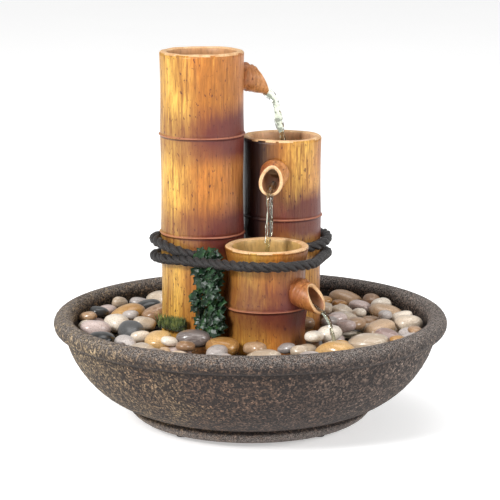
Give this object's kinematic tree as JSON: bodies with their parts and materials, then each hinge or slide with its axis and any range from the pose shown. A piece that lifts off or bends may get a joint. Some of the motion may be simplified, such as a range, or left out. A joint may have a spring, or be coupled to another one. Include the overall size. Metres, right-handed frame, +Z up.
{
  "type": "tabletop water fountain",
  "caption": "Tabletop fountain: open bamboo stalks of stepped height tied with rope pour through short spouts into a stone-look bowl of pebbles over a hidden pump.",
  "frame": {"origin": "on the table, under the centre of the bowl", "axes": "+Z up, -Y towards the viewer with the short stalk in front"},
  "size_m": [0.2666, 0.2666, 0.252],
  "materials": {
    "bamboo": "satin, shaded by hand",
    "coil_copper": "satin",
    "core_steel": "satin",
    "dial_plastic": "satin",
    "impeller_plastic": "satin",
    "ivy": "waxy",
    "magnet_ferrite": "matt",
    "moss": "tufted",
    "pad_rubber": "matt",
    "pebble_amber": "polished",
    "pebble_cream": "polished",
    "pebble_dark": "polished",
    "pebble_grey": "polished",
    "pebble_mauve": "polished",
    "pebble_tan": "polished",
    "plinth_resin": "matt",
    "potting_resin": "matt",
    "pump_plastic": "matt",
    "rope": "twisted, dark",
    "seal_rubber": "matt",
    "shaft_ceramic": "ground",
    "stone": "matt granular",
    "tray_plastic": "matt",
    "tube_clear": "clear"
  },
  "bodies": {
    "basin": {"bowl": "stone", "foot_pads": "pad_rubber", "cord_stopper": "seal_rubber", "pebble_tray": "tray_plastic", "pebbles_cream": "pebble_cream", "pebbles_tan": "pebble_tan", "pebbles_mauve": "pebble_mauve", "pebbles_grey": "pebble_grey", "pebbles_amber": "pebble_amber", "pebbles_dark": "pebble_dark", "pump_body": "pump_plastic", "stator_core": "core_steel", "stator_coil": "coil_copper", "potting": "potting_resin", "pump_suction_cups": "pad_rubber", "pump_cord_gland": "seal_rubber", "volute": "pump_plastic", "outlet_adapter": "pump_plastic", "rotor_shaft": "shaft_ceramic", "shaft_bushes": "seal_rubber"},
    "tower": {"plinth": "plinth_resin", "deck_pebbles": "pebble_tan", "tall_stalk": "bamboo", "tall_cup_floor": "bamboo", "middle_stalk": "bamboo", "short_stalk": "bamboo", "tall_spout": "bamboo", "middle_spout": "bamboo", "short_spout": "bamboo", "rope_band": "rope", "rope_second_turn": "rope", "ivy_sprig": "ivy", "moss_collar": "moss", "riser_tube": "tube_clear", "tube_grommet": "seal_rubber"},
    "impeller": {"rotor_magnet": "magnet_ferrite", "impeller": "impeller_plastic"},
    "dial": {"flow_dial": "dial_plastic"},
    "strainer": {"strainer_cover": "pump_plastic"}
  },
  "joints": [
    {"name": "tower_lift", "type": "slide", "parent": "basin", "child": "tower", "axis": [0, 0, 1], "range_m": [0, 0.1]},
    {"name": "impeller_spin", "type": "hinge", "parent": "basin", "child": "impeller", "pos_m": [-0.02, 0.004, 0.0305], "axis": [1, 0, 0], "continuous": true},
    {"name": "strainer_pull", "type": "slide", "parent": "basin", "child": "strainer", "axis": [-1, 0, 0], "range_m": [0, 0.006]},
    {"name": "flow_dial_turn", "type": "hinge", "parent": "basin", "child": "dial", "pos_m": [-0.02, 0.004, 0.0305], "axis": [1, 0, 0], "range_deg": [0, 45]}
  ]
}
